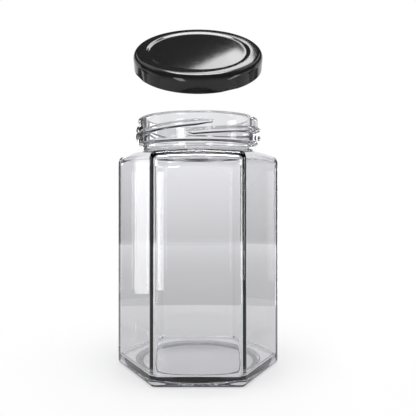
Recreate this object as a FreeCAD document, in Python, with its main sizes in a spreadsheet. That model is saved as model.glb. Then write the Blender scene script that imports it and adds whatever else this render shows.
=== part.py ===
"""A hexagonal glass jar with a threaded neck, and its black twist-off lid, held above it and tipped forward.

The jar stands on Z = 0 with its neck's axis on Z. Two of its six flat sides face -Y and +Y; -Y is the front.
The lid is modelled about its own axis, with its sealing plane at Z = 0, and then placed. At a lift, tilt and
turn of 0 it is screwed onto the jar, with the sealing ring on the rim and the lugs under the threads.
"""
import FreeCAD, Part
import math
import os

import Sketcher
from FreeCAD import Placement, Rotation, Vector

# Driving dimensions in millimetres and degrees: alias, value, meaning.
SIZES = [
    # the jar's body
    ("jar_height", 122.3, "from the foot to the rim"),
    ("across_flats", 70.4, "between opposite outside faces of the hexagon"),
    ("corner_radius", 3.6, "outside radius of the upright edges"),
    ("heel_radius", 2.0, "outside radius between the sides and the foot"),
    ("shoulder_slope", 9.0, "fall of the shoulder from the neck outwards"),
    ("side_wall", 2.6, "thickness of the glass in the sides"),
    ("shoulder_wall", 2.4, "thickness of the glass in the shoulder, measured along Z"),
    ("floor_thickness", 4.0, "from the foot to the inside floor"),
    ("inner_corner_radius", 2.2, "inside radius of the upright edges"),
    ("inner_floor_radius", 2.0, "inside radius between the sides and the floor"),
    ("edge_difference", 0.15, "by how much the shoulder's edges are tighter than the upright ones"),
    # the round hollow under the foot
    ("punt_diameter", 59.2, "of the hollow's mouth"),
    ("punt_slope_width", 1.6, "width of the sloping edge of the hollow"),
    ("punt_slope_depth", 0.8, "depth of the sloping edge"),
    ("punt_dome", 0.5, "further rise of the hollow to its middle"),
    # the neck
    ("neck_height", 16.9, "from the shoulder to the rim"),
    ("neck_diameter", 60.2, "outside, between the threads"),
    ("neck_wall", 4.3, "from the outside between the threads to the bore"),
    ("neck_blend_radius", 2.0, "hollow radius between the neck and the shoulder"),
    ("bore_blend_radius", 2.0, "radius where the bore opens into the body"),
    ("root_step", 2.2, "how much narrower than the threaded part the neck is below it, on the radius"),
    ("root_hollow_radius", 1.0, "hollow radius of that step"),
    ("root_drop", 12.1, "from the rim down to where that step begins"),
    ("rim_radius", 1.2, "rounding of both edges of the rim"),
    # the threads
    ("thread_starts", 4, "number of equal threads"),
    ("thread_height", 1.35, "how far a thread stands out of the neck"),
    ("thread_radius", 1.3, "radius of a thread's rounded back"),
    ("thread_lead", 16.0, "rise of a thread in a whole turn"),
    ("thread_span", 110.0, "angle that one thread covers"),
    ("thread_drop", 4.9, "from the rim down to the upper end of a thread"),
    ("thread_end", 12.0, "direction of a thread's upper end, from the front towards +X"),
    ("thread_ball_step", 0.04, "by how much the round ends of a thread are smaller, on the radius"),
    # the lid
    ("lid_sheet", 0.24, "thickness of the steel"),
    ("thread_clearance", 0.2, "between the curled hem of the lid and the threads, on the radius"),
    ("lug_clearance", 0.05, "between a lug and the thread above it when the lid is on"),
    ("gasket_thickness", 0.8, "of the sealing ring, between the rim and the steel"),
    ("lid_shoulder_radius", 3.2, "outside radius between the top and the skirt"),
    ("ring_width", 3.05, "flat part of the raised ring, inside the shoulder"),
    ("panel_recess", 0.6, "depth of the middle panel below the ring around it"),
    ("panel_step_width", 2.2, "width of the sloping step around the panel"),
    ("panel_dome", 0.3, "rise of the panel to its middle"),
    ("curl_radius", 0.5, "radius of the rolled hem"),
    ("lug_count", 4, "number of lugs pressed into the hem"),
    ("lug_width", 8.0, "along the hem"),
    ("lug_taper", 1.6, "how much narrower a lug is at its tip, at each side"),
    ("lug_height", 0.9, "along the axis of the lid"),
    ("lug_grip", 0.65, "how far a lug reaches under a thread, on the radius"),
    ("lug_travel", 17.6, "angle from a thread's upper end to its lug's far edge when the lid is on"),
    ("dent_depth", 0.3, "of the flat that each lug leaves outside the hem"),
    ("dent_height", 0.7, "of that flat, up from the lower edge of the lid"),
    # where the lid is held
    ("lid_lift", 34.5, "up from the place where the lid is screwed on"),
    ("lid_tilt", 37.1, "forward, so that its top faces the front"),
    ("lid_turn", 28.3, "unscrewed from the place where the lid is tight"),
    # room for cuts
    ("cut_margin", 2.0, "how far a cut or a joined piece runs past what it meets"),
]

# Sizes that follow from the driving ones: alias and formula. A lug sits under its thread's round section, so
# thread_half is how far that section reaches below its own middle at the radius of the lug's tip.
FITS = [
    ("corner_reach", "sizes.across_flats / sqrt(3)"),
    ("shoulder_z", "sizes.jar_height - sizes.neck_height"),
    ("inner_flats", "sizes.across_flats - 2 * sizes.side_wall"),
    ("inner_shoulder_z", "shoulder_z - sizes.shoulder_wall"),
    ("neck_r", "sizes.neck_diameter / 2"),
    ("root_r", "neck_r - sizes.root_step"),
    ("bore_r", "neck_r - sizes.neck_wall"),
    ("root_top_z", "sizes.jar_height - sizes.root_drop"),
    ("punt_r", "sizes.punt_diameter / 2"),
    ("punt_floor_r", "punt_r - sizes.punt_slope_width"),
    ("thread_tip_r", "neck_r + sizes.thread_height"),
    ("thread_axis_r", "thread_tip_r - sizes.thread_radius"),
    ("thread_rise", "sizes.thread_lead * sizes.thread_span / 360"),
    ("thread_top_z", "sizes.jar_height - sizes.thread_drop"),
    ("lid_r", "thread_tip_r + sizes.thread_clearance + 2 * sizes.curl_radius"),
    ("lid_top", "sizes.gasket_thickness + sizes.lid_sheet"),
    ("lid_shoulder_r", "lid_r - sizes.lid_shoulder_radius"),
    ("ring_r", "lid_shoulder_r - sizes.ring_width"),
    ("panel_r", "ring_r - sizes.panel_step_width"),
    ("panel_top", "lid_top - sizes.panel_recess"),
    ("lug_tip_r", "thread_tip_r - sizes.lug_grip"),
    ("lug_root_r", "lid_r - sizes.curl_radius"),
    ("thread_half", "sqrt(sizes.thread_radius ^ 2 - (lug_tip_r - thread_axis_r) ^ 2)"),
    ("lug_thread_drop", "sizes.thread_drop + sizes.thread_lead * sizes.lug_travel / 360"),
    ("lug_top_drop", "lug_thread_drop + thread_half + sizes.lug_clearance"),
    ("curl_axis_drop", "lug_top_drop + sizes.lug_height / 2"),
    ("lug_half_angle", "asin((sizes.lug_width / 2 - sizes.lug_taper) / lug_tip_r) / 1 deg"),
    ("lug_direction", "sizes.thread_end - sizes.lug_travel + lug_half_angle + sizes.lid_turn - 90"),
]

# Direction of the round faces' seams from +X: clear of the hexagon's corners and the middles of its sides.
SEAM_DIRECTION = "15"

# Two places nearer than this are the same.
NEAR = 0.001


def fill_sheet(sheet, rows):
    """Put each row's text in column B under its alias, with the alias written beside it in column A."""
    for number, row in enumerate(rows, start=1):
        sheet.set(f"A{number}", row[0])
        sheet.set(f"B{number}", row[1])
        sheet.setAlias(f"B{number}", row[0])


def origin_item(body, role):
    """One of a body's own origin planes or axes."""
    return next(item for item in body.Origin.OriginFeatures if item.Role == role)


def new_body(name):
    """An empty body; its name is also its label."""
    return doc.addObject("PartDesign::Body", name)


def new_sketch(body, name, plane, turn_axis=Vector(0, 0, 1), turn=None, height=None):
    """A sketch on one of the body's planes, turned about one of its own axes and raised where given."""
    sketch = body.newObject("Sketcher::SketchObject", name)
    sketch.AttachmentSupport = (origin_item(body, plane), [""])
    sketch.MapMode = "FlatFace"
    sketch.AttachmentOffset = Placement(Vector(), Rotation(turn_axis, 1))
    sketch.setExpression("AttachmentOffset.Rotation.Angle", turn or "0")
    if height:
        sketch.setExpression("AttachmentOffset.Base.z", height)
    return sketch


def value_of(item, formula):
    """The number that a formula has for one of the document's objects."""
    return float(item.evalExpression(formula))


def arc_between(start, end, radius):
    """The short arc from start to end: counterclockwise, or clockwise for a negative radius."""
    chord = end - start
    left = Vector(-chord.y, chord.x, 0).normalize()
    rise = math.sqrt(max(radius ** 2 - (chord.Length / 2) ** 2, 0))
    centre = (start + end) * 0.5 + left * math.copysign(rise, radius)
    first, last = (start, end) if radius > 0 else (end, start)
    first_angle = math.atan2(first.y - centre.y, first.x - centre.x)
    last_angle = math.atan2(last.y - centre.y, last.x - centre.x)
    circle = Part.Circle(centre, Vector(0, 0, 1), abs(radius))
    return Part.ArcOfCircle(circle, first_angle, last_angle)


def tie(sketch, constraint, formula):
    """Add a constraint whose value a formula gives."""
    index = sketch.addConstraint(constraint)
    sketch.setExpression(f"Constraints[{index}]", formula)


def tie_point(sketch, geometry, end, point, x_formula, y_formula):
    """Fix one end of a side: on an axis of the sketch, or at its formula's distance from the origin."""
    if x_formula == "0":
        sketch.addConstraint(Sketcher.Constraint("PointOnObject", geometry, end, -2))
    else:
        tie(sketch, Sketcher.Constraint("DistanceX", -1, 1, geometry, end, point.x), x_formula)
    if y_formula == "0":
        sketch.addConstraint(Sketcher.Constraint("PointOnObject", geometry, end, -1))
    else:
        tie(sketch, Sketcher.Constraint("DistanceY", -1, 1, geometry, end, point.y), y_formula)


def draw_outline(sketch, corners):
    """Draw a closed outline and tie it to the sheets.

    Each corner is (x, y) or (x, y, radius), in formulas. With a radius the side to the next corner is an
    arc, counterclockwise, or clockwise where the formula starts with a minus.
    """
    points = [Vector(value_of(sketch, corner[0]), value_of(sketch, corner[1]), 0) for corner in corners]
    ends = []  # for each side, the end that is its start and the end that is its finish
    for number, corner in enumerate(corners):
        start = points[number]
        end = points[(number + 1) % len(points)]
        if len(corner) == 2:
            sketch.addGeometry(Part.LineSegment(start, end))
            ends.append((1, 2))
            continue
        radius = value_of(sketch, corner[2])
        sketch.addGeometry(arc_between(start, end, radius))
        ends.append((1, 2) if radius > 0 else (2, 1))
        tie(sketch, Sketcher.Constraint("Radius", number, abs(radius)), corner[2].removeprefix("-"))
    for number, (x_formula, y_formula, *_) in enumerate(corners):
        before = (number - 1) % len(corners)
        start, finish_before = ends[number][0], ends[before][1]
        sketch.addConstraint(Sketcher.Constraint("Coincident", before, finish_before, number, start))
        tie_point(sketch, number, start, points[number], x_formula, y_formula)


def draw_circle(sketch, x_formula, y_formula, radius_formula):
    """Draw a circle and tie it to the sheets."""
    centre = Vector(value_of(sketch, x_formula), value_of(sketch, y_formula), 0)
    radius = value_of(sketch, radius_formula)
    sketch.addGeometry(Part.Circle(centre, Vector(0, 0, 1), radius))
    tie_point(sketch, 0, 3, centre, x_formula, y_formula)
    tie(sketch, Sketcher.Constraint("Radius", 0, radius), radius_formula)


def revolve(body, kind, name, corners):
    """Revolve or groove an outline, given as radius and height, about the body's Z axis."""
    sketch = new_sketch(body, name + "_outline", "XZ_Plane", turn_axis=Vector(0, 1, 0), turn=SEAM_DIRECTION)
    draw_outline(sketch, corners)
    feature = body.newObject(kind, name)
    feature.Profile = sketch
    feature.ReferenceAxis = (origin_item(body, "Z_Axis"), [""])
    feature.Angle = 360
    doc.recompute()
    return feature


def pad(body, name, sketch, length):
    """Pad a sketch upwards by a formula's length."""
    feature = body.newObject("PartDesign::Pad", name)
    feature.Profile = sketch
    feature.setExpression("Length", length)
    doc.recompute()
    return feature


def repeat_around(body, name, features, count):
    """Repeat features evenly about the body's Z axis."""
    pattern = body.newObject("PartDesign::PolarPattern", name)
    pattern.Originals = features
    pattern.Axis = (origin_item(body, "Z_Axis"), [""])
    pattern.Angle = 360
    pattern.setExpression("Occurrences", count)
    body.Tip = pattern
    doc.recompute()
    return pattern


def round_edges(body, name, radius, wanted):
    """Round the edges of the body so far that the wanted function picks."""
    base = body.Tip
    edges = [f"Edge{number}" for number, edge in enumerate(base.Shape.Edges, start=1) if wanted(edge)]
    feature = body.newObject("PartDesign::Fillet", name)
    feature.Base = (base, edges)
    feature.setExpression("Radius", radius)
    doc.recompute()
    return feature


def reach_of(edge):
    """Distance of an edge's start from the Z axis."""
    start = edge.Vertexes[0].Point
    return math.hypot(start.x, start.y)


def ring_picker(radius, height):
    """Picks the circles about the Z axis with this radius at this height."""
    def is_ring(edge):
        box = edge.BoundBox
        return abs(reach_of(edge) - radius) < NEAR and abs(box.ZMin - height) < NEAR and box.ZLength < NEAR
    return is_ring


def build_hexagon(body, flats, foot_z, top_z, corner_radius, foot_radius):
    """A rounded hexagonal block whose top falls outwards as a cone from the neck.

    The same steps make the outside of the jar's body and, with the sizes inside the glass, its hollow.
    """
    corner = f"({flats}) / sqrt(3)"
    sketch = new_sketch(body, "hexagon", "XY_Plane", height=foot_z)
    angles = [60 * number for number in range(6)]
    draw_outline(sketch, [(f"{corner} * cos({angle})", f"{corner} * sin({angle})") for angle in angles])
    pad(body, "block", sketch, f"{top_z} - {foot_z}")

    edge_x = f"({corner} + sizes.cut_margin)"
    edge_z = f"{top_z} - ({edge_x} - fits.root_r) * tan(sizes.shoulder_slope)"
    above_z = f"{top_z} + sizes.cut_margin"
    revolve(body, "PartDesign::Groove", "shoulder_cone", [
        ("fits.root_r", top_z),
        (edge_x, edge_z),
        (edge_x, above_z),
        ("fits.root_r", above_z),
    ])

    foot = value_of(body, foot_z)
    inside_flats = value_of(body, flats) / 2 - NEAR
    middle = (foot + value_of(body, top_z)) / 2
    round_edges(body, "upright_edges", corner_radius,
                lambda edge: edge.BoundBox.ZMin < middle < edge.BoundBox.ZMax)
    round_edges(body, "shoulder_edges", f"{corner_radius} - sizes.edge_difference",
                lambda edge: edge.BoundBox.ZMin > middle and reach_of(edge) > inside_flats)
    round_edges(body, "foot_edges", foot_radius, lambda edge: edge.BoundBox.ZMax < foot + NEAR)


def build_jar_outside():
    """The jar without its hollow: body, neck, and the hollow under the foot."""
    body = new_body("jar_outside")
    build_hexagon(body, "sizes.across_flats", "0", "fits.shoulder_z",
                  "sizes.corner_radius", "sizes.heel_radius")

    step_foot = "fits.root_top_z - sizes.root_step"
    revolve(body, "PartDesign::Revolution", "neck", [
        ("0", "fits.shoulder_z - sizes.cut_margin"),
        ("fits.root_r", "fits.shoulder_z - sizes.cut_margin"),
        ("fits.root_r", step_foot, "-sizes.root_hollow_radius"),
        ("fits.root_r + sizes.root_hollow_radius", f"{step_foot} + sizes.root_hollow_radius",
         "sizes.root_step - sizes.root_hollow_radius"),
        ("fits.neck_r", "fits.root_top_z"),
        ("fits.neck_r", "sizes.jar_height - sizes.rim_radius", "sizes.rim_radius"),
        ("fits.neck_r - sizes.rim_radius", "sizes.jar_height"),
        ("0", "sizes.jar_height"),
    ])
    round_edges(body, "neck_blend", "sizes.neck_blend_radius",
                ring_picker(fits.root_r, fits.shoulder_z))

    dome = "(fits.punt_floor_r ^ 2 + sizes.punt_dome ^ 2) / (2 * sizes.punt_dome)"
    revolve(body, "PartDesign::Groove", "punt", [
        ("0", "-sizes.cut_margin"),
        ("fits.punt_r", "-sizes.cut_margin"),
        ("fits.punt_r", "0"),
        ("fits.punt_floor_r", "sizes.punt_slope_depth", dome),
        ("0", "sizes.punt_slope_depth + sizes.punt_dome"),
    ])
    add_threads(body)
    return body


def add_threads(body):
    """The threads on the neck: rounded ridges that climb towards +X in front, with a ball at both ends."""
    foot_z = "fits.thread_top_z - fits.thread_rise"
    head_direction = "sizes.thread_end - 90"
    foot_direction = f"{head_direction} - sizes.thread_span"

    section = new_sketch(body, "thread_section", "XZ_Plane", turn_axis=Vector(0, 1, 0), turn=foot_direction)
    draw_circle(section, "fits.thread_axis_r", foot_z, "sizes.thread_radius")
    ridge = body.newObject("PartDesign::AdditiveHelix", "thread_ridge")
    ridge.Profile = section
    ridge.ReferenceAxis = (origin_item(body, "Z_Axis"), [""])
    ridge.Mode = "pitch-height-angle"
    ridge.setExpression("Pitch", "sizes.thread_lead")
    ridge.setExpression("Height", "fits.thread_rise")
    doc.recompute()

    foot_ball = add_thread_ball(body, "thread_foot", foot_direction, foot_z)
    head_ball = add_thread_ball(body, "thread_head", head_direction, "fits.thread_top_z")
    repeat_around(body, "threads", [ridge, foot_ball, head_ball], "sizes.thread_starts")


def add_thread_ball(body, name, direction, height):
    """One ball on the line of the threads, at a direction from +X and a height."""
    ball = body.newObject("PartDesign::AdditiveSphere", name)
    ball.AttachmentSupport = (origin_item(body, "XY_Plane"), [""])
    ball.MapMode = "FlatFace"
    ball.setExpression("Radius", "sizes.thread_radius - sizes.thread_ball_step")
    ball.setExpression("AttachmentOffset.Base.x", f"fits.thread_axis_r * cos({direction})")
    ball.setExpression("AttachmentOffset.Base.y", f"fits.thread_axis_r * sin({direction})")
    ball.setExpression("AttachmentOffset.Base.z", height)
    doc.recompute()
    return ball


def build_jar_inside():
    """The jar's hollow, as a solid to be cut out: the hexagonal chamber and the bore, flared at the rim."""
    body = new_body("jar_inside")
    build_hexagon(body, "fits.inner_flats", "sizes.floor_thickness", "fits.inner_shoulder_z",
                  "sizes.inner_corner_radius", "sizes.inner_floor_radius")
    revolve(body, "PartDesign::Revolution", "bore", [
        ("0", "fits.inner_shoulder_z - sizes.cut_margin"),
        ("fits.bore_r", "fits.inner_shoulder_z - sizes.cut_margin"),
        ("fits.bore_r", "sizes.jar_height - sizes.rim_radius", "-sizes.rim_radius"),
        ("fits.bore_r + sizes.rim_radius", "sizes.jar_height"),
        ("fits.bore_r + sizes.rim_radius", "sizes.jar_height + sizes.cut_margin"),
        ("0", "sizes.jar_height + sizes.cut_margin"),
    ])
    round_edges(body, "bore_blend", "sizes.bore_blend_radius",
                ring_picker(fits.bore_r, fits.inner_shoulder_z))
    return body


def build_jar():
    """The glass: the outside with its hollow cut out."""
    jar = doc.addObject("Part::Cut", "jar")
    jar.Base = build_jar_outside()
    jar.Tool = build_jar_inside()
    return jar


def build_lid():
    """The steel lid: sunken panel, raised ring, skirt and rolled hem, with the lugs pressed into the hem."""
    body = new_body("lid")
    dome = "(fits.panel_r ^ 2 + sizes.panel_dome ^ 2) / (2 * sizes.panel_dome)"
    step = "(sizes.panel_step_width ^ 2 + sizes.panel_recess ^ 2) / (4 * sizes.panel_recess)"
    step_middle_r = "fits.panel_r + sizes.panel_step_width / 2"
    step_middle_z = "fits.panel_top + sizes.panel_recess / 2"
    hem_axis_r = "fits.lid_r - sizes.curl_radius"
    hem_join = "sqrt(sizes.curl_radius ^ 2 - (sizes.curl_radius - sizes.lid_sheet) ^ 2)"
    revolve(body, "PartDesign::Revolution", "shell", [
        ("0", "fits.panel_top + sizes.panel_dome", f"-({dome})"),
        ("fits.panel_r", "fits.panel_top", step),
        (step_middle_r, step_middle_z, f"-({step})"),
        ("fits.ring_r", "fits.lid_top"),
        ("fits.lid_shoulder_r", "fits.lid_top", "-sizes.lid_shoulder_radius"),
        ("fits.lid_r", "fits.lid_top - sizes.lid_shoulder_radius"),
        ("fits.lid_r", "-fits.curl_axis_drop", "-sizes.curl_radius"),
        (hem_axis_r, "-fits.curl_axis_drop - sizes.curl_radius", "-sizes.curl_radius"),
        (f"{hem_axis_r} - sizes.curl_radius", "-fits.curl_axis_drop", "-sizes.curl_radius"),
        ("fits.lid_r - sizes.lid_sheet", f"-fits.curl_axis_drop + {hem_join}"),
        ("fits.lid_r - sizes.lid_sheet", "fits.lid_top - sizes.lid_shoulder_radius",
         "sizes.lid_shoulder_radius - sizes.lid_sheet"),
        ("fits.lid_shoulder_r", "fits.lid_top - sizes.lid_sheet"),
        ("fits.ring_r", "fits.lid_top - sizes.lid_sheet", step),
        (step_middle_r, f"{step_middle_z} - sizes.lid_sheet", f"-({step})"),
        ("fits.panel_r", "fits.panel_top - sizes.lid_sheet", dome),
        ("0", "fits.panel_top + sizes.panel_dome - sizes.lid_sheet"),
    ])

    lug_root_x = "sqrt(fits.lug_root_r ^ 2 - (sizes.lug_width / 2) ^ 2)"
    lug_plan = new_sketch(body, "lug_plan", "XY_Plane", turn="fits.lug_direction",
                          height="-fits.curl_axis_drop - sizes.lug_height / 2")
    draw_outline(lug_plan, [
        ("fits.lug_tip_r", "sizes.lug_taper - sizes.lug_width / 2"),
        (lug_root_x, "-sizes.lug_width / 2", "fits.lug_root_r"),
        (lug_root_x, "sizes.lug_width / 2"),
        ("fits.lug_tip_r", "sizes.lug_width / 2 - sizes.lug_taper"),
    ])
    lug = pad(body, "lug", lug_plan, "sizes.lug_height")
    repeat_around(body, "lugs", [lug], "sizes.lug_count")

    dent_plan = new_sketch(body, "dent_plan", "XY_Plane", turn="fits.lug_direction",
                           height="sizes.dent_height - fits.curl_axis_drop - sizes.curl_radius")
    draw_outline(dent_plan, [
        ("fits.lid_r - sizes.dent_depth", "-sizes.lug_width"),
        ("fits.lid_r + sizes.cut_margin", "-sizes.lug_width"),
        ("fits.lid_r + sizes.cut_margin", "sizes.lug_width"),
        ("fits.lid_r - sizes.dent_depth", "sizes.lug_width"),
    ])
    dent = body.newObject("PartDesign::Pocket", "dent")
    dent.Profile = dent_plan
    dent.setExpression("Length", "sizes.dent_height + sizes.cut_margin")
    doc.recompute()
    repeat_around(body, "dents", [dent], "sizes.lug_count")
    return body


def build_lid_gasket():
    """The sealing ring moulded under the raised ring, out to the shoulder, flat where the rim meets it."""
    body = new_body("lid_gasket")
    inside_radius = "(sizes.lid_shoulder_radius - sizes.lid_sheet)"
    shoulder_drop = "(sizes.lid_shoulder_radius - fits.lid_top)"
    outer_r = f"fits.lid_shoulder_r + sqrt({inside_radius} ^ 2 - {shoulder_drop} ^ 2)"
    revolve(body, "PartDesign::Revolution", "ring", [
        ("fits.ring_r", "0"),
        (outer_r, "0", inside_radius),
        ("fits.lid_shoulder_r", "sizes.gasket_thickness"),
        ("fits.ring_r", "sizes.gasket_thickness"),
    ])
    return body


def hold_with_lid(body):
    """Put a piece of the lid, modelled about the sealing plane, where the lid is held."""
    body.Placement = Placement(Vector(), Rotation(Vector(1, 0, 0), 1))
    body.setExpression("Placement.Base.z", "sizes.jar_height + sizes.lid_lift")
    body.setExpression("Placement.Rotation.Angle", "sizes.lid_tilt")


def check_and_write(nodes):
    """Stop if any object failed or any node's shape is bad, then write one STEP file for each node."""
    failed = [item.Name for item in doc.Objects if {"Invalid", "Error"} & set(item.State)]
    if failed:
        raise RuntimeError("failed objects: " + ", ".join(failed))
    for node in nodes:
        if node.Shape.isNull() or not node.Shape.isValid() or len(node.Shape.Solids) != 1:
            raise RuntimeError(node.Label + " isn't one valid solid")
    os.makedirs("parts", exist_ok=True)
    for node in nodes:
        node.Shape.exportStep(f"parts/{node.Label}.step")
        print(f"{node.Label}: {node.Shape.Volume / 1000:.2f} cm3")


doc = FreeCAD.newDocument("hexagonal_jar")
sizes = doc.addObject("Spreadsheet::Sheet", "sizes")
fill_sheet(sizes, [(alias, str(value)) for alias, value, _ in SIZES])
doc.recompute()
fits = doc.addObject("Spreadsheet::Sheet", "fits")
fill_sheet(fits, [(alias, "=" + formula) for alias, formula in FITS])
doc.recompute()

jar = build_jar()
lid = build_lid()
lid_gasket = build_lid_gasket()
hold_with_lid(lid)
hold_with_lid(lid_gasket)
doc.recompute()
check_and_write([jar, lid, lid_gasket])
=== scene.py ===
import math

import bpy
from mathutils import Matrix, Vector


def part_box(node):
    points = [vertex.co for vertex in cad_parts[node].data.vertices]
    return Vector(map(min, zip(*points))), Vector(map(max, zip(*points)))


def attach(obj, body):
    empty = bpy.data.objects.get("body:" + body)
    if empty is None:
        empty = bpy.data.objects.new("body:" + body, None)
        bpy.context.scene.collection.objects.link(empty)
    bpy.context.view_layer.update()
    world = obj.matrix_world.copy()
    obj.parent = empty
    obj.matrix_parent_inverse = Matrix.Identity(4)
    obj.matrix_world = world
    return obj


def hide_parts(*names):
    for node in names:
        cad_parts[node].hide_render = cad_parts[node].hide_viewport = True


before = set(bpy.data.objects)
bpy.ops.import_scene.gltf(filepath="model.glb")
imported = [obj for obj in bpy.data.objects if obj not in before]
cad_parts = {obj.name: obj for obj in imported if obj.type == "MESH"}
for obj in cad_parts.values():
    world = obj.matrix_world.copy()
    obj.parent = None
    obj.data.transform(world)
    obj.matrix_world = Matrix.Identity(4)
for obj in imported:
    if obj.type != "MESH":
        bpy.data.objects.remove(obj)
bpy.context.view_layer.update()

# The looks of a hexagonal glass jar and its black twist-off lid, which is held tipped above it.
#
# The glass, the lid and the sealing ring inside the lid are made again as fine, smooth skins, since
# glass and gloss show every facet. Each takes the place of one of the frame's nodes and fills the
# same box. They differ from the nodes in small ways: the threads taper at their ends, the lugs'
# flats blend in softly, the hem is a rolled sheet with a hollow, and the sealing ring has a groove.
# The frame doesn't give the walls, threads and mouldings, so their sizes are listed here.
# Lengths are in metres. A section is a list of points (reach, height) that is turned about an axis.

MM = 0.001
JAR_LOW, JAR_HIGH = (Vector(corner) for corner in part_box("jar"))
LID_LOW, LID_HIGH = (Vector(corner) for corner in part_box("lid"))
RING_LOW, RING_HIGH = (Vector(corner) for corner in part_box("lid_gasket"))

# ---------------------------------------------------------------- sizes of the jar
JAR_HEIGHT = JAR_HIGH.z
OUTER_FLATS = JAR_HIGH.y - JAR_LOW.y
SIDE_WALL, SHOULDER_WALL = 2.6 * MM, 2.4 * MM
FLOOR_Z = 4.0 * MM
OUTER_CORNER, INNER_CORNER = 3.6 * MM, 2.2 * MM
OUTER_SHOULDER, INNER_SHOULDER = 3.45 * MM, 2.05 * MM
HEEL_RADIUS, INNER_HEEL_RADIUS = 2.0 * MM, 2.0 * MM
SHOULDER_SLOPE = math.radians(9)
SHOULDER_Z = JAR_HEIGHT - 16.9 * MM

NECK_R = 30.1 * MM
ROOT_R = NECK_R - 2.2 * MM
BORE_R = NECK_R - 4.3 * MM
RIM_RADIUS = 1.2 * MM
ROOT_TOP_Z = JAR_HEIGHT - 12.1 * MM
ROOT_HOLLOW, ROOT_ROUND = 1.0 * MM, 1.2 * MM
NECK_BLEND = 2.0 * MM

# The shallow hollow under the foot: a domed middle and a slope round it.
PUNT_R, PUNT_FLOOR_R = 29.6 * MM, 28.0 * MM
PUNT_SLOPE, PUNT_DOME = 0.8 * MM, 0.5 * MM

THREAD_COUNT = 4
THREAD_AXIS_R = 30.15 * MM
THREAD_RADIUS = 1.3 * MM
THREAD_FILLET = 0.45 * MM
THREAD_LEAD = 16.0 * MM
THREAD_SPAN = math.radians(110)
THREAD_HEAD = math.radians(12 - 90)
THREAD_TOP_Z = JAR_HEIGHT - 4.9 * MM
THREAD_HEAD_FADE, THREAD_FOOT_FADE = math.radians(15), math.radians(5)
THREAD_END_SHARE = 0.45

# ---------------------------------------------------------------- sizes of the lid
# Heights are from the plane in which it seals on the jar's rim.
LID_TILT = math.radians(37.1)
LID_R = (LID_HIGH.x - LID_LOW.x) / 2
LID_SHEET = 0.24 * MM
LID_TOP = 1.04 * MM
LID_SHOULDER = 3.2 * MM
LID_RING_WIDTH, LID_RING_CROWN = 3.05 * MM, 0.03 * MM
PANEL_STEP, PANEL_RECESS, PANEL_DOME = 2.2 * MM, 0.6 * MM, 0.3 * MM
SKIRT_HEIGHTS = [height * MM for height in (-2.6, -3.6, -4.6, -5.2, -5.8, -6.4, -6.9)]
HEM_RADIUS, HEM_Z = 0.5 * MM, -7.31 * MM
HEM_ROLL = -285

LUG_COUNT = 4
LUG_FACE = math.radians(-62.8)
LUG_REACH = 0.85 * MM
LUG_DENT, LUG_DENT_HEIGHT = 0.3 * MM, 1.6 * MM

GASKET_THICKNESS = 0.8 * MM
GASKET_LIP, GASKET_GROOVE = 0.3 * MM, 0.12 * MM

# ---------------------------------------------------------------- how finely the skins are divided
CORNER_STEPS, FLAT_STEPS = 16, 56
SIDE_STEPS = CORNER_STEPS + FLAT_STEPS
AROUND = 6 * SIDE_STEPS
NECK_ROWS = 68
LID_AROUND = 360
LID_ANGLES = [math.tau * step / LID_AROUND for step in range(LID_AROUND)]
SHOULDER_SHARES = (0.06, 0.25, 0.5, 0.75, 0.94)
# Rings at these distances from a rounded edge keep the flat faces' shading flat.
EDGE_SPACE, FACE_SPACE, BORE_SPACE = 0.4 * MM, 8 * MM, 0.5 * MM

# ---------------------------------------------------------------- sizes of the studio
CAMERA_PLACE = (0, -0.255, 0.0834)
CAMERA_LENS, CAMERA_SENSOR = 43.7, 36
CAMERA_SHIFT = (0.024, -0.0264)

CEILING = 1.0
FLOOR_HALF = 3.0
FLOOR_COLOUR = (0.82, 0.82, 0.83, 1)
# The share of plain white in what the floor shows: the first up to the near distance from the
# jar's axis, so that the shadow can be seen there, and 1 beyond the far distance.
SHADOW_WHITE = 0.55
SHADOW_NEAR, SHADOW_FAR = 0.03, 0.13

# The lamp hangs at the ceiling. The world gives this much light where it isn't seen itself.
LAMP_SIZE = (0.42, 0.3)
LAMP_PLACE = (0, -0.06, CEILING)
LAMP_POWER = 6.3
WORLD_LIGHT = 0.55

# The cards' distances from the jar's axis, and the heights that several of them share.
FAR, UPPER_FAR, NEAR, CLOSE = 0.72, 0.9, 0.2, 0.15
BACK_JOIN = 0.185
STRIP_FOOT, STRIP_HEAD = 0.003, 0.145
NECK_FOOT, NECK_HEAD = 0.109, 0.15
TABLE_HEIGHT = 0.0003


# ---------------------------------------------------------------- points, rings and skins
def direction(angle):
    """The way out from the upright axis at an angle."""
    return Vector((math.cos(angle), math.sin(angle), 0))


def polar(reach, angle, height):
    """A point at a reach from the upright axis."""
    return Vector((reach * math.cos(angle), reach * math.sin(angle), height))


def ease(share):
    """A smooth step from 0 to 1."""
    share = min(max(share, 0), 1)
    return share * share * (3 - 2 * share)


def between(first, second, share):
    """The ring part of the way from one ring to another."""
    return [a.lerp(b, share) for a, b in zip(first, second)]


def arc(centre, radius, start, end, steps):
    """Points of an arc in a section, its angles in degrees."""
    angles = [math.radians(start + (end - start) * step / steps) for step in range(steps + 1)]
    return [(centre[0] + radius * math.cos(angle), centre[1] + radius * math.sin(angle))
            for angle in angles]


def s_step(start, end, steps):
    """A smooth S between two points of a section, without the two."""
    points = []
    for step in range(1, steps):
        share = step / steps
        points.append((start[0] + (end[0] - start[0]) * share,
                       start[1] + (end[1] - start[1]) * ease(share)))
    return points


def new_object(name, data):
    """An object that is linked into the scene."""
    made = bpy.data.objects.new(name, data)
    bpy.context.scene.collection.objects.link(made)
    return made


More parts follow.
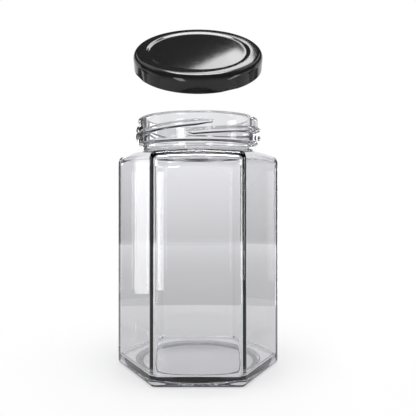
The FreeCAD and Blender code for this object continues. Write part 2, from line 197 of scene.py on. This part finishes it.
def skin(name, rings, foot_pole=None, head_pole=None):
    """A closed mesh of rings, each joined to the next. Without poles the last joins the first."""
    around = len(rings[0])
    points = [point for ring in rings for point in ring]
    pairs = [(number, number + 1) for number in range(len(rings) - 1)]
    if foot_pole is None:
        pairs.append((len(rings) - 1, 0))
    faces = []
    for first, second in pairs:
        for step in range(around):
            ahead = (step + 1) % around
            faces.append((first * around + step, first * around + ahead,
                          second * around + ahead, second * around + step))
    if foot_pole is not None:
        for pole, row, flip in ((foot_pole, 0, True), (head_pole, len(rings) - 1, False)):
            middle = len(points)
            points.append(pole)
            for step in range(around):
                pair = (row * around + step, row * around + (step + 1) % around)
                faces.append((middle, *(pair[::-1] if flip else pair)))
    mesh = bpy.data.meshes.new(name)
    mesh.from_pydata(points, [], faces)
    mesh.polygons.foreach_set("use_smooth", [True] * len(faces))
    mesh.validate()
    return new_object(name, mesh)


# ---------------------------------------------------------------- the jar
def hexagon_outline(flats, radius):
    """A rounded hexagon with corners on the X axis: its points, and the way out of it at each."""
    reach = (flats / 2 - radius) / math.cos(math.radians(30))
    points, ways = [], []
    for corner in range(6):
        middle = math.radians(60 * corner)
        centre = direction(middle) * reach
        for step in range(CORNER_STEPS):
            way = direction(middle + math.radians(60) * (step / CORNER_STEPS - 0.5))
            points.append(centre + way * radius)
            ways.append(way)
        way = direction(middle + math.radians(30))
        start = centre + way * radius
        along = Vector((-way.y, way.x, 0)) * 2 * reach * math.sin(math.radians(30))
        for step in range(FLAT_STEPS):
            points.append(start + along * step / FLAT_STEPS)
            ways.append(way)
    return points, ways


def hexagon_ring(outline, inset, height):
    """A ring inset from a rounded hexagon; the height may be a function of the point."""
    ring = []
    for point, way in zip(*outline):
        place = point - way * inset
        place.z = height(place) if callable(height) else height
        ring.append(place)
    return ring


def azimuth(step):
    """The angle of a point of a round ring, near that of the hexagon point it is joined to."""
    corner, rest = divmod(step, SIDE_STEPS)
    return math.radians(60 * (corner + (rest - CORNER_STEPS / 2) / SIDE_STEPS))


def round_ring(reach, height):
    """A ring about the jar's axis; the reach may be a function of the angle."""
    angles = [azimuth(step) for step in range(AROUND)]
    return [polar(reach(angle) if callable(reach) else reach, angle, height) for angle in angles]


def shoulder_cone(top_z):
    """The height of a shoulder's cone over a point, where top_z is its height at the neck."""
    def height(place):
        return top_z - (math.hypot(place.x, place.y) - ROOT_R) * math.tan(SHOULDER_SLOPE)
    return height


def block_rings(flats, corner_radius, foot_z, foot_radius, top_z, edge_radius):
    """The sides of a hexagonal block, from its foot's edge over its shoulder's rounded edge."""
    outline = hexagon_outline(flats, corner_radius)
    rings = []
    for inset, height in arc((foot_radius, foot_z + foot_radius), foot_radius, 270, 180, 10):
        rings.append(hexagon_ring(outline, inset, height))

    # The edge starts level all round, below the lowest place of the cone over the outline.
    cone = shoulder_cone(top_z)
    edge_drop = edge_radius * (1 / math.cos(SHOULDER_SLOPE) - math.tan(SHOULDER_SLOPE))
    wall_top = min(cone(point) for point in outline[0]) - edge_drop
    for height in (foot_z + foot_radius + EDGE_SPACE, foot_z + FACE_SPACE,
                   wall_top - FACE_SPACE, wall_top - EDGE_SPACE):
        rings.append(hexagon_ring(outline, 0, height))

    end = 90 + math.degrees(SHOULDER_SLOPE)
    for inset, rise in arc((edge_radius, 0), edge_radius, 180, end, 12):
        drop = edge_drop + inset * math.tan(SHOULDER_SLOPE) - rise
        rings.append(hexagon_ring(outline, inset, lambda place, drop=drop: cone(place) - drop))
    return rings


def cone_rings(edge_ring, reach, cone, shares):
    """Rings on the shoulder between its rounded edge and a circle round the neck."""
    circle = round_ring(reach, 0)
    rings = []
    for share in shares:
        ring = between(edge_ring, circle, share)
        for place in ring:
            place.z = cone(place)
        rings.append(ring)
    return rings


def ridge_height(away, radius):
    """How far a round ridge with hollow fillets stands out, at a distance from its middle line."""
    axis_out = THREAD_AXIS_R - NECK_R
    reach = radius + THREAD_FILLET
    span = math.sqrt(reach ** 2 - (THREAD_FILLET - axis_out) ** 2)
    meeting = span * radius / reach
    if away < meeting:
        return axis_out + math.sqrt(radius ** 2 - away ** 2)
    if away < span:
        return THREAD_FILLET - math.sqrt(THREAD_FILLET ** 2 - (span - away) ** 2)
    return 0


def thread_bulge(angle, height):
    """How far the threads stand out of the neck at an angle and height."""
    bulge = 0
    for number in range(THREAD_COUNT):
        head = THREAD_HEAD + math.tau * number / THREAD_COUNT
        behind = (head - angle + math.pi) % math.tau - math.pi
        for back in (behind, behind + math.tau):
            on_thread = min(max(back, 0), THREAD_SPAN)
            centre_z = THREAD_TOP_Z - THREAD_LEAD * on_thread / math.tau
            away = math.hypot(height - centre_z, (back - on_thread) * THREAD_AXIS_R)
            full = min(ease(on_thread / THREAD_HEAD_FADE),
                       ease((THREAD_SPAN - on_thread) / THREAD_FOOT_FADE))
            radius = THREAD_RADIUS * (THREAD_END_SHARE + (1 - THREAD_END_SHARE) * full)
            bulge = max(bulge, ridge_height(away, radius))
    return bulge


def neck_rings():
    """The neck, from its blend with the shoulder up the outside, over the rim and down the bore."""
    slope = SHOULDER_SLOPE
    blend_z = SHOULDER_Z + NECK_BLEND * (1 / math.cos(slope) - math.tan(slope))
    root_z = ROOT_TOP_Z - ROOT_HOLLOW - ROOT_ROUND
    section = arc((ROOT_R + NECK_BLEND, blend_z), NECK_BLEND, 270 - math.degrees(slope), 180, 8)
    section += arc((ROOT_R + ROOT_HOLLOW, root_z), ROOT_HOLLOW, 180, 90, 6)
    section += arc((NECK_R - ROOT_ROUND, ROOT_TOP_Z), ROOT_ROUND, -90, 0, 7)[1:]
    rings = [round_ring(reach, height) for reach, height in section]

    rim_z = JAR_HEIGHT - RIM_RADIUS
    for row in range(1, NECK_ROWS):
        height = ROOT_TOP_Z + (rim_z - ROOT_TOP_Z) * row / NECK_ROWS
        rings.append(round_ring(lambda angle, z=height: NECK_R + thread_bulge(angle, z), height))

    bore_z = SHOULDER_Z - SHOULDER_WALL + NECK_BLEND
    section = arc((NECK_R - RIM_RADIUS, rim_z), RIM_RADIUS, 0, 90, 8)
    section += arc((BORE_R + RIM_RADIUS, rim_z), RIM_RADIUS, 90, 180, 8)
    section += [(BORE_R, rim_z - BORE_SPACE), (BORE_R, bore_z + BORE_SPACE)]
    section += arc((BORE_R + NECK_BLEND, bore_z), NECK_BLEND, 180, 270, 8)
    return rings + [round_ring(reach, height) for reach, height in section]


def make_jar():
    """The glass in one skin, from the middle of its foot up the outside and down the inside."""
    punt_top = PUNT_SLOPE + PUNT_DOME
    rings = []
    for share in (0.08, 0.2, 0.35, 0.5, 0.65, 0.8, 0.9, 0.96, 1):
        rings.append(round_ring(PUNT_FLOOR_R * share, punt_top - PUNT_DOME * share ** 2))
    for share in (0.15, 0.5, 0.85):
        reach = PUNT_FLOOR_R + (PUNT_R - PUNT_FLOOR_R) * share
        rings.append(round_ring(reach, PUNT_SLOPE * (1 - ease(share))))
    rings.append(round_ring(PUNT_R, 0))

    outside = block_rings(OUTER_FLATS, OUTER_CORNER, 0, HEEL_RADIUS, SHOULDER_Z, OUTER_SHOULDER)
    rings += [between(rings[-1], outside[0], share) for share in (0.1, 0.5, 0.9)]
    rings += outside
    blend_reach = ROOT_R + NECK_BLEND * (1 - math.sin(SHOULDER_SLOPE))
    rings += cone_rings(outside[-1], blend_reach, shoulder_cone(SHOULDER_Z), SHOULDER_SHARES)
    rings += neck_rings()

    inner_z = SHOULDER_Z - SHOULDER_WALL
    inside = block_rings(OUTER_FLATS - 2 * SIDE_WALL, INNER_CORNER, FLOOR_Z, INNER_HEEL_RADIUS,
                         inner_z, INNER_SHOULDER)
    rings.append(round_ring(ROOT_R, inner_z))
    rings += cone_rings(inside[-1], ROOT_R, shoulder_cone(inner_z), SHOULDER_SHARES[::-1])
    rings += inside[::-1]
    floor_ring = round_ring(PUNT_FLOOR_R * 0.8, FLOOR_Z)
    rings += [between(inside[0], floor_ring, share) for share in (0.08, 0.5, 1)]
    rings += [round_ring(PUNT_FLOOR_R * share, FLOOR_Z) for share in (0.5, 0.2, 0.06)]
    jar = skin("glass_jar", rings, Vector((0, 0, punt_top)), Vector((0, 0, FLOOR_Z)))
    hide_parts("jar")
    return jar


# ---------------------------------------------------------------- the lid and its sealing ring
def lid_place():
    """From the lid's own frame, its sealing plane at zero, to where it is held."""
    middle = (RING_LOW + RING_HIGH) / 2
    return Matrix.Translation(middle) @ Matrix.Rotation(LID_TILT, 4, "X")


def lug_strength(angle):
    """How deep a lug's flat is at an angle, as a share of its depth at the lug's middle."""
    sector = math.tau / LUG_COUNT
    from_lug = (angle - LUG_FACE + sector / 2) % sector - sector / 2
    depth = LID_R - (LID_R - LUG_DENT) / math.cos(from_lug)
    return max(depth, 0) / LUG_DENT


def lid_point(reach, height, angle):
    """A point of the lid's section; the skirt and hem are pressed inwards where a lug is."""
    low = 1 - ease((height - HEM_Z) / LUG_DENT_HEIGHT)
    inner = ease((LID_R - reach) / (2 * HEM_RADIUS))
    press = (LUG_DENT + (LUG_REACH - LUG_DENT) * inner) * low
    if reach > LID_R - 3 * HEM_RADIUS:
        reach -= press * lug_strength(angle)
    return polar(reach, angle, height)


def lid_section():
    """The outline of the pressed sheet, from its top's middle over the hem and back underneath."""
    shoulder_r = LID_R - LID_SHOULDER
    ring_r = shoulder_r - LID_RING_WIDTH
    panel_r = ring_r - PANEL_STEP
    panel_z = LID_TOP - PANEL_RECESS
    top = []
    for share in (0.1, 0.3, 0.5, 0.7, 0.85, 0.95, 1):
        top.append((panel_r * share, panel_z + PANEL_DOME * (1 - share ** 2)))
    top += s_step((panel_r, panel_z), (ring_r, LID_TOP), 12)
    top += [(ring_r, LID_TOP), (ring_r + LID_RING_WIDTH * 0.5, LID_TOP + LID_RING_CROWN)]
    top += arc((shoulder_r, LID_TOP - LID_SHOULDER), LID_SHOULDER, 90, 0, 16)

    # The underside is the sheet's thickness below the top, and that far inside the skirt.
    under = []
    for reach, height in top:
        turned = ease((reach - shoulder_r) / LID_SHOULDER)
        under.append((reach - LID_SHEET * turned, height - LID_SHEET * (1 - turned)))
    skirt = [(LID_R, height) for height in SKIRT_HEIGHTS]
    inner_skirt = [(LID_R - LID_SHEET, height) for height in SKIRT_HEIGHTS[:-1]]
    hem_axis = (LID_R - HEM_RADIUS, HEM_Z)
    roll = arc(hem_axis, HEM_RADIUS, 0, HEM_ROLL, 20)
    roll_inside = arc(hem_axis, HEM_RADIUS - LID_SHEET, HEM_ROLL, 0, 14)
    return top + skirt + roll + roll_inside + inner_skirt[::-1] + under[::-1]


def make_lid():
    """The lacquered steel lid: panel, step, ring, skirt and rolled hem, its lugs pressed in."""
    rings = [[lid_point(reach, height, angle) for angle in LID_ANGLES]
             for reach, height in lid_section()]
    top_pole = Vector((0, 0, LID_TOP - PANEL_RECESS + PANEL_DOME))
    under_pole = top_pole - Vector((0, 0, LID_SHEET))
    lid = skin("lacquered_lid", rings, top_pole, under_pole)
    lid.data.transform(lid_place())
    lid.data.flip_normals()
    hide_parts("lid")
    return lid


def make_gasket():
    """The sealing ring moulded into the lid, with the shallow groove of a rim pressed into it."""
    shoulder_r = LID_R - LID_SHOULDER
    inner_r = shoulder_r - LID_RING_WIDTH
    inside_radius = LID_SHOULDER - LID_SHEET
    foot_reach = shoulder_r + math.sqrt(inside_radius ** 2 - (LID_SHOULDER - LID_TOP) ** 2)
    section = [(inner_r, GASKET_THICKNESS), (inner_r, GASKET_LIP)]
    section += arc((inner_r + GASKET_LIP, GASKET_LIP), GASKET_LIP, 180, 270, 6)[1:]
    for share in (0.2, 0.3, 0.4, 0.5, 0.6, 0.7, 0.8, 0.9):
        groove = GASKET_GROOVE * math.sin(math.pi * share) ** 2
        section.append((inner_r + (foot_reach - inner_r) * share, groove))
    section.append((foot_reach, 0))

    # The outer side follows the inside of the lid's shoulder, up to its top.
    foot_angle = math.acos((foot_reach - shoulder_r) / inside_radius)
    for share in (0.25, 0.5, 0.75, 1):
        angle = foot_angle * (1 - share) + math.pi / 2 * share
        section.append((shoulder_r + inside_radius * math.cos(angle),
                        LID_TOP - LID_SHOULDER + inside_radius * math.sin(angle)))
    rings = [[polar(reach, angle, height) for angle in LID_ANGLES] for reach, height in section]
    gasket = skin("sealing_ring", rings)
    gasket.data.transform(lid_place())
    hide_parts("lid_gasket")
    return gasket


# ---------------------------------------------------------------- nodes
def add_node(tree, kind, values=None, **settings):
    """A new node with its settings and the plain values of its inputs."""
    node = tree.nodes.new(kind)
    for name, value in settings.items():
        setattr(node, name, value)
    for name, value in (values or {}).items():
        node.inputs[name].default_value = value
    return node


def noise(tree, scale, detail=2):
    """Noise in the object's own coordinates, from 0 to 1."""
    place = add_node(tree, "ShaderNodeTexCoord")
    texture = add_node(tree, "ShaderNodeTexNoise", {"Scale": scale, "Detail": detail})
    tree.links.new(place.outputs["Object"], texture.inputs["Vector"])
    return texture.outputs["Fac"]


def blend_values(tree, factor, low, high, start=0.0, end=1.0, curve="LINEAR"):
    """A number that goes from low to high while the factor goes from start to end."""
    values = {"From Min": start, "From Max": end, "To Min": low, "To Max": high}
    node = add_node(tree, "ShaderNodeMapRange", values, interpolation_type=curve)
    tree.links.new(factor, node.inputs["Value"])
    return node.outputs["Result"]


def blend_colours(tree, factor, low, high):
    """A colour that follows a factor between two colours."""
    values = {"A": (*low, 1), "B": (*high, 1)}
    node = add_node(tree, "ShaderNodeMix", values, data_type="RGBA")
    tree.links.new(factor, node.inputs["Factor"])
    return node.outputs["Result"]


def calculate(tree, operation, first, second, clamp=False):
    """A sum or product of two numbers."""
    node = add_node(tree, "ShaderNodeMath", operation=operation, use_clamp=clamp)
    tree.links.new(first, node.inputs[0])
    tree.links.new(second, node.inputs[1])
    return node.outputs["Value"]


def add_bump(tree, shader, height, distance, strength):
    """Relief on a shader, on top of any that it has."""
    bump = add_node(tree, "ShaderNodeBump", {"Distance": distance, "Strength": strength})
    tree.links.new(height, bump.inputs["Height"])
    if shader.inputs["Normal"].links:
        tree.links.new(shader.inputs["Normal"].links[0].from_socket, bump.inputs["Normal"])
    tree.links.new(bump.outputs["Normal"], shader.inputs["Normal"])


def new_material(name):
    """A material with only its output and one Principled shader."""
    material = bpy.data.materials.new(name)
    material.use_nodes = True
    tree = material.node_tree
    return material, tree, tree.nodes["Principled BSDF"]


# ---------------------------------------------------------------- materials
def glass_material():
    """Clear flint glass with the faint waviness of a mould and beads at its foot."""
    material, tree, shader = new_material("clear_glass")
    shader.inputs["Transmission Weight"].default_value = 1
    shader.inputs["IOR"].default_value = 1.52
    tint = blend_colours(tree, noise(tree, scale=30),
                         low=(0.97, 0.97, 0.98), high=(0.99, 0.99, 0.995))
    tree.links.new(tint, shader.inputs["Base Color"])
    haze = blend_values(tree, noise(tree, scale=140), low=0.0, high=0.012)
    tree.links.new(haze, shader.inputs["Roughness"])
    add_bump(tree, shader, noise(tree, scale=30, detail=1), distance=0.4 * MM, strength=0.07)
    add_beads(tree, shader)
    depth = add_node(tree, "ShaderNodeVolumeAbsorption",
                     {"Color": (0.40, 0.40, 0.46, 1), "Density": 72})
    tree.links.new(depth.outputs["Volume"], tree.nodes["Material Output"].inputs["Volume"])
    return material


def add_beads(tree, shader):
    """Fine beads moulded into the rim that the jar stands on, which fade out above it."""
    place = add_node(tree, "ShaderNodeTexCoord")
    beads = add_node(tree, "ShaderNodeTexVoronoi", {"Scale": 1100})
    tree.links.new(place.outputs["Object"], beads.inputs["Vector"])
    parts = add_node(tree, "ShaderNodeSeparateXYZ")
    tree.links.new(place.outputs["Object"], parts.inputs["Vector"])
    low = blend_values(tree, parts.outputs["Z"], low=1, high=0, start=0.5 * MM, end=1.0 * MM)
    relief = calculate(tree, "MULTIPLY", beads.outputs["Distance"], low)
    add_bump(tree, shader, relief, distance=0.2 * MM, strength=0.5)


def lacquer_material():
    """Glossy black lacquer on steel, with a little orange peel and uneven gloss."""
    material, tree, shader = new_material("black_lacquer")
    shader.inputs["IOR"].default_value = 1.43
    black = blend_colours(tree, noise(tree, scale=60),
                          low=(0.012, 0.012, 0.0125), high=(0.017, 0.017, 0.0175))
    tree.links.new(black, shader.inputs["Base Color"])
    gloss = blend_values(tree, noise(tree, scale=350, detail=4), low=0.05, high=0.12)
    tree.links.new(gloss, shader.inputs["Roughness"])
    add_bump(tree, shader, noise(tree, scale=900), distance=0.02 * MM, strength=0.25)
    return material


def compound_material():
    """The soft grey-white sealing compound."""
    material, tree, shader = new_material("sealing_compound")
    clouds = noise(tree, scale=220, detail=4)
    grey = blend_colours(tree, clouds, low=(0.56, 0.55, 0.52), high=(0.68, 0.67, 0.64))
    tree.links.new(grey, shader.inputs["Base Color"])
    tree.links.new(blend_values(tree, clouds, low=0.42, high=0.6), shader.inputs["Roughness"])
    add_bump(tree, shader, noise(tree, scale=1500), distance=0.05 * MM, strength=0.3)
    return material


def give(piece, material):
    """Put a material on a piece that rides on the body."""
    piece.data.materials.append(material)
    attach(piece, "root")


# ---------------------------------------------------------------- background, light and camera
def seen_directly(tree):
    """1 for rays from the camera and for those that only gloss or glass has turned."""
    rays = add_node(tree, "ShaderNodeLightPath")
    total = rays.outputs["Is Camera Ray"]
    for kind in ("Is Glossy Ray", "Is Transmission Ray"):
        total = calculate(tree, "ADD", total, rays.outputs[kind], clamp=True)
    return total


def make_world():
    """White where it is seen, and a plain soft light for the rest."""
    world = bpy.data.worlds.new("studio")
    bpy.context.scene.world = world
    world.use_nodes = True
    tree = world.node_tree
    background = tree.nodes["Background"]
    background.inputs["Color"].default_value = (1, 1, 1, 1)
    strength = blend_values(tree, seen_directly(tree), low=WORLD_LIGHT, high=1.0)
    tree.links.new(strength, background.inputs["Strength"])


def make_floor():
    """A wide pale floor that is seen as the white background and keeps a soft shadow."""
    mesh = bpy.data.meshes.new("floor")
    half = FLOOR_HALF
    mesh.from_pydata([(-half, -half, 0), (half, -half, 0), (half, half, 0), (-half, half, 0)],
                     [], [(0, 1, 2, 3)])
    floor = new_object("floor", mesh)
    material, tree, shader = new_material("pale_floor")
    shader.inputs["Base Color"].default_value = FLOOR_COLOUR
    shader.inputs["Roughness"].default_value = 0.6
    place = add_node(tree, "ShaderNodeTexCoord")
    away = add_node(tree, "ShaderNodeVectorMath", operation="LENGTH")
    tree.links.new(place.outputs["Object"], away.inputs[0])
    white = blend_values(tree, away.outputs["Value"], low=SHADOW_WHITE, high=1.0,
                         start=SHADOW_NEAR, end=SHADOW_FAR, curve="SMOOTHSTEP")
    glow = add_node(tree, "ShaderNodeEmission", {"Color": (1, 1, 1, 1)})
    mix = add_node(tree, "ShaderNodeMixShader")
    tree.links.new(calculate(tree, "MULTIPLY", white, seen_directly(tree)), mix.inputs["Fac"])
    tree.links.new(shader.outputs["BSDF"], mix.inputs[1])
    tree.links.new(glow.outputs["Emission"], mix.inputs[2])
    tree.links.new(mix.outputs["Shader"], tree.nodes["Material Output"].inputs["Surface"])
    floor.data.materials.append(material)


def make_lamp():
    """One large soft lamp overhead, which faces straight down."""
    light = bpy.data.lights.new("overhead_lamp", "AREA")
    light.shape = "RECTANGLE"
    light.size, light.size_y = LAMP_SIZE
    light.energy = LAMP_POWER
    new_object("overhead_lamp", light).location = LAMP_PLACE


def make_camera():
    """A level camera at about half the object's height, its frame shifted a little to fit."""
    lens = bpy.data.cameras.new("camera")
    lens.sensor_width = CAMERA_SENSOR
    lens.lens = CAMERA_LENS
    lens.shift_x, lens.shift_y = CAMERA_SHIFT
    camera = new_object("camera", lens)
    camera.location = CAMERA_PLACE
    camera.rotation_euler = (math.radians(90), 0, 0)
    bpy.context.scene.camera = camera


# ---------------------------------------------------------------- cards
# What clear glass and gloss show is the room round them, and these cards are that room. Only gloss
# and glass show them: they give no diffuse light and cast no shadow, and the camera sees them only
# in the object. A card's level is 0 for black and 1 for the background's white. A bright strip is
# above 1, as a lamp is. Directions are in degrees from the X axis, so the camera is at 270 and the
# far side at 90.
def card_material():
    """A material that glows as the levels at its card's points say."""
    material, tree, shader = new_material("card")
    tree.nodes.remove(shader)
    level = add_node(tree, "ShaderNodeAttribute", attribute_name="level")
    glow = add_node(tree, "ShaderNodeEmission")
    tree.links.new(level.outputs["Fac"], glow.inputs["Strength"])
    tree.links.new(glow.outputs["Emission"], tree.nodes["Material Output"].inputs["Surface"])
    return material


CARD_MATERIAL = card_material()


def make_card(name, points, faces, levels):
    """A card with the level it glows at each of its points."""
    mesh = bpy.data.meshes.new(name)
    mesh.from_pydata(points, [], faces)
    mesh.attributes.new("level", "FLOAT", "POINT").data.foreach_set("value", levels)
    mesh.materials.append(CARD_MATERIAL)
    card = new_object(name, mesh)
    card.visible_camera = False
    card.visible_diffuse = False
    card.visible_shadow = False


def even(level):
    """The same level at a card's four corners."""
    return (level, level, level, level)


def upright(foot, head):
    """Levels that change from the foot of a card to its head."""
    return (foot, foot, head, head)


def sideways(first, last):
    """Levels that change from the first side of a card to its last."""
    return (first, last, last, first)


def make_wall(name, span, distance, levels, head, foot=0.0):
    """An upright card across a span of directions, at a distance from the jar's axis."""
    first, last = (direction(math.radians(angle)) * distance for angle in span)
    low, high = Vector((0, 0, foot)), Vector((0, 0, head))
    corners = [first + low, last + low, last + high, first + high]
    make_card(name, corners, [(0, 1, 2, 3)], levels)


def make_ceiling(name, corners, level, drop=0.0):
    """A level card at the ceiling or a little under it, its corners given as (x, y)."""
    make_card(name, [(x, y, CEILING - drop) for x, y in corners], [(0, 1, 2, 3)], even(level))


def oval(half_x, half_y, middle_y=0.0):
    """Points of an oval just above the floor."""
    angles = [math.tau * step / 96 for step in range(96)]
    return [(half_x * math.cos(angle), half_y * math.sin(angle) + middle_y, TABLE_HEIGHT)
            for angle in angles]


def make_table(name, inner, outer, inner_level, outer_level):
    """A grey band on the floor between two ovals."""
    steps = len(inner)
    faces = []
    for step in range(steps):
        ahead = (step + 1) % steps
        faces.append((step, ahead, steps + ahead, steps + step))
    make_card(name, inner + outer, faces, [inner_level] * steps + [outer_level] * steps)


def make_walls():
    """Grey sides and front, a pale gradient behind each face, dark corners and a dark top."""
    for middle in (45, 135, 225, 315):
        make_wall(f"side_card_{middle}", (middle - 24, middle + 24), FAR, even(0.32), head=0.2)
    make_wall("front_card", (250, 290), FAR, even(0.28), head=0.35)
    for start, end in ((69, 111), (172, 188), (-8, 8)):
        make_wall(f"back_card_{start}", (start, end), FAR, upright(0.8, 1.28), head=BACK_JOIN)
        make_wall(f"back_head_{start}", (start, end), FAR, even(1.05), head=0.33, foot=BACK_JOIN)
    for start, end in ((156, 172), (8, 24)):
        make_wall(f"corner_card_{start}", (start, end), FAR - 0.01, even(0.06), head=0.2)

    # The dark top comes down lowest in front, and least at the far side.
    for middle in range(0, 360, 30):
        span = (middle - 15, middle + 15)
        foot = 0.6 if 30 <= middle <= 150 else 0.2 if middle > 180 else 0.33
        make_wall(f"upper_card_{middle}", span, UPPER_FAR, even(0.04), head=CEILING, foot=foot)


def make_tables():
    """The grey table that the glass's lower half shows, darker next to the jar as painted shadow,
    and a dark ring of painted contact shadow under the jar's hollow.
    """
    edge = oval(0.25, 0.17, -0.035)
    # The middle band is darker next to the jar. This is painted shadow round the foot, and only the
    # glass shows it.
    make_table("table_middle", oval(0.045, 0.045), edge, inner_level=0.75, outer_level=0.85)
    # A dark card ring under the hollow of the foot: painted contact shadow, seen only through the
    # glass.
    make_table("foot_painted_shadow_ring", oval(0.0256, 0.0256, -0.002), oval(0.0294, 0.0294),
               inner_level=0.05, outer_level=0.05)
    make_table("table_ring", edge, oval(FAR, FAR), inner_level=0.62, outer_level=0.92)


def make_strips():
    """Bright upright strips: one at each side, and two that put light lines at the corners."""
    make_wall("left_strip_edge", (151.9, 153.0), NEAR, sideways(0.25, 2.1),
              head=STRIP_HEAD, foot=STRIP_FOOT)
    make_wall("left_strip", (153.0, 155.8), NEAR, even(2.1), head=STRIP_HEAD, foot=STRIP_FOOT)
    make_wall("right_strip", (36.5, 42.5), CLOSE, even(7.0), head=0.105, foot=STRIP_FOOT)
    make_wall("back_corner_strip", (233, 247), NEAR, even(6.0), head=STRIP_HEAD, foot=STRIP_FOOT)
    make_wall("front_corner_strip", (328, 340), NEAR, even(5.0), head=STRIP_HEAD, foot=0.02)


def make_neck_cards():
    """Dark and light upright bands, and small lights, placed for the neck."""
    make_wall("neck_left_dark", (126, 153), CLOSE, even(0.08), head=NECK_HEAD, foot=NECK_FOOT)
    make_wall("neck_left_light", (113, 125), CLOSE, even(3.0), head=0.14, foot=NECK_FOOT)
    make_wall("neck_right_dark", (28, 36), CLOSE, even(0.08), head=NECK_HEAD, foot=NECK_FOOT)
    make_wall("neck_right_light", (42, 62), CLOSE, even(2.5), head=0.132, foot=0.114)
    make_wall("neck_back_light", (96, 99.5), CLOSE, even(3.0), head=0.124, foot=0.114)


def make_ceilings():
    """A dark ceiling in front and behind, and the soft box that the lid's panel shows."""
    behind = [(-0.5, 0.26), (0.5, 0.26), (0.5, 0.9), (-0.5, 0.9)]
    before = [(-0.7, -1.2), (0.7, -1.2), (0.7, -0.2), (-0.7, -0.2)]
    soft_box = [(0.105, 0.535), (-0.13, 0.305), (0.0, 0.1), (0.33, 0.28)]
    make_ceiling("back_ceiling", behind, level=0.02)
    make_ceiling("front_ceiling", before, level=0.02)
    make_ceiling("soft_box", soft_box, level=5.5, drop=0.01)


# ---------------------------------------------------------------- the scene
give(make_jar(), glass_material())
give(make_lid(), lacquer_material())
give(make_gasket(), compound_material())
make_world()
make_floor()
make_walls()
make_tables()
make_strips()
make_neck_cards()
make_ceilings()
make_lamp()
make_camera()
bpy.context.scene.view_settings.view_transform = "Standard"
